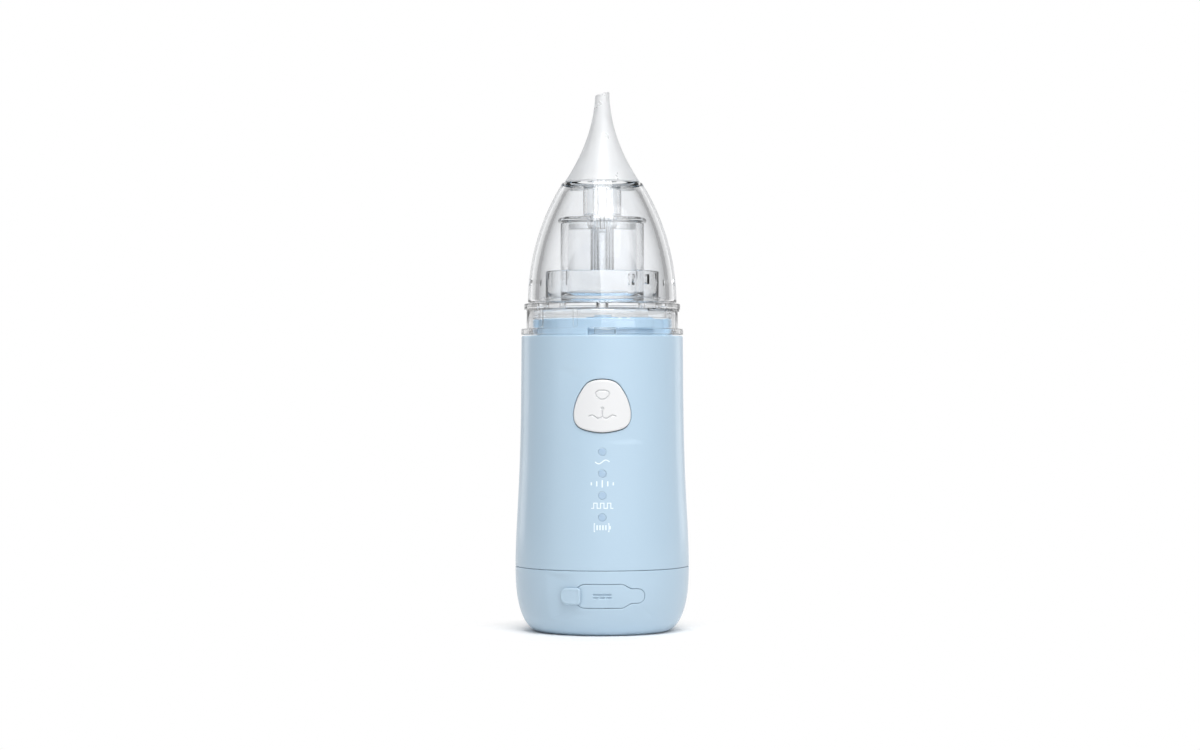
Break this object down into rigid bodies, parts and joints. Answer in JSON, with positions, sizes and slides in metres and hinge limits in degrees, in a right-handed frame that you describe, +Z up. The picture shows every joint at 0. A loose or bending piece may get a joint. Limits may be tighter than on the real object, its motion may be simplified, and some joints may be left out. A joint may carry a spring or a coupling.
{
  "type": "nasal aspirator",
  "caption": "Battery nasal aspirator: tapered hand-held suction casing under a clear domed collection head with a soft slant-cut nozzle.",
  "frame": {"origin": "middle of the base, on the surface it stands on", "axes": "+Z up through the nozzle, -Y towards the button and the charging port, +X to the right seen from the front"},
  "size_m": [0.052, 0.052, 0.1615],
  "materials": {
    "casing_blue": "satin",
    "button_white": "satin",
    "window_tint": "satin",
    "flap_rubber": "matte",
    "clear_plastic": "gloss",
    "soft_silicone": "satin",
    "felt": "matte",
    "screw_steel": "satin",
    "frame_plastic": "matte",
    "board_green": "satin",
    "black_plastic": "matte",
    "lamp_white": "gloss",
    "socket_metal": "polished",
    "motor_can": "satin",
    "cell_wrap": "gloss",
    "black_rubber": "matte",
    "lead_red": "satin",
    "lead_black": "satin"
  },
  "bodies": {
    "housing": {"body_shell": "casing_blue", "base_cap": "casing_blue", "neck_plate": "casing_blue", "light_pipe": "window_tint", "flap_anchor": "flap_rubber", "suction_grommet": "soft_silicone", "suction_hose": "soft_silicone", "inlet_filter": "felt", "exhaust_muffler": "felt", "cap_screw_1": "screw_steel", "cap_screw_2": "screw_steel", "cap_screw_3": "screw_steel", "board_screw_1": "screw_steel", "board_screw_2": "screw_steel", "battery_tab_bottom": "screw_steel", "battery_tab_top": "screw_steel", "chassis": "frame_plastic", "wobble_plate": "frame_plastic", "valve_plate": "frame_plastic", "main_board": "board_green", "charge_board": "board_green", "controller_chip": "black_plastic", "switch_body": "black_plastic", "pump_frame": "black_plastic", "pump_head": "black_plastic", "led_1": "lamp_white", "led_2": "lamp_white", "led_3": "lamp_white", "led_4": "lamp_white", "charge_socket": "socket_metal", "pump_motor": "motor_can", "battery_cell": "cell_wrap", "diaphragm": "black_rubber", "battery_lead_red": "lead_red", "motor_lead_red": "lead_red", "charge_lead": "lead_red", "battery_lead_black": "lead_black", "motor_lead_black": "lead_black"},
    "button": {"power_button": "button_white"},
    "plunger": {"switch_plunger": "lamp_white"},
    "flap": {"port_flap": "flap_rubber"},
    "cup": {"cup_base": "clear_plastic", "cup_gasket": "soft_silicone", "collection_cup": "clear_plastic", "splash_lid": "clear_plastic"},
    "dome": {"cup_dome": "clear_plastic", "dome_seal": "soft_silicone"},
    "tip": {"nozzle": "soft_silicone"},
    "crank": {"eccentric": "frame_plastic"}
  },
  "joints": [
    {"name": "cup_twist", "type": "hinge", "parent": "housing", "child": "cup", "pos_m": [0, 0, 0.0885], "axis": [0, 0, 1], "range_deg": [0, 54]},
    {"name": "dome_lift", "type": "slide", "parent": "cup", "child": "dome", "axis": [0, 0, 1], "range_m": [0, 0.05]},
    {"name": "nozzle_lift", "type": "slide", "parent": "dome", "child": "tip", "axis": [0, 0, 1], "range_m": [0, 0.03]},
    {"name": "button_press", "type": "slide", "parent": "housing", "child": "button", "axis": [0, 1, 0], "range_m": [0, 0.0005], "stiffness_N_per_m": 400},
    {"name": "plunger_press", "type": "slide", "parent": "housing", "child": "plunger", "axis": [0, 1, 0], "range_m": [0, 0.0005]},
    {"name": "flap_swing", "type": "hinge", "parent": "housing", "child": "flap", "pos_m": [0.00979, -0.02373, 0.012], "axis": [0, 0, 1], "range_deg": [0, 100]},
    {"name": "crank_turn", "type": "hinge", "parent": "housing", "child": "crank", "pos_m": [0.0075, 0.0045, 0.05], "axis": [0, 0, 1], "continuous": true}
  ],
  "couplings": [
    {"joint": "plunger_press", "follows": "button_press", "ratio": 1}
  ]
}
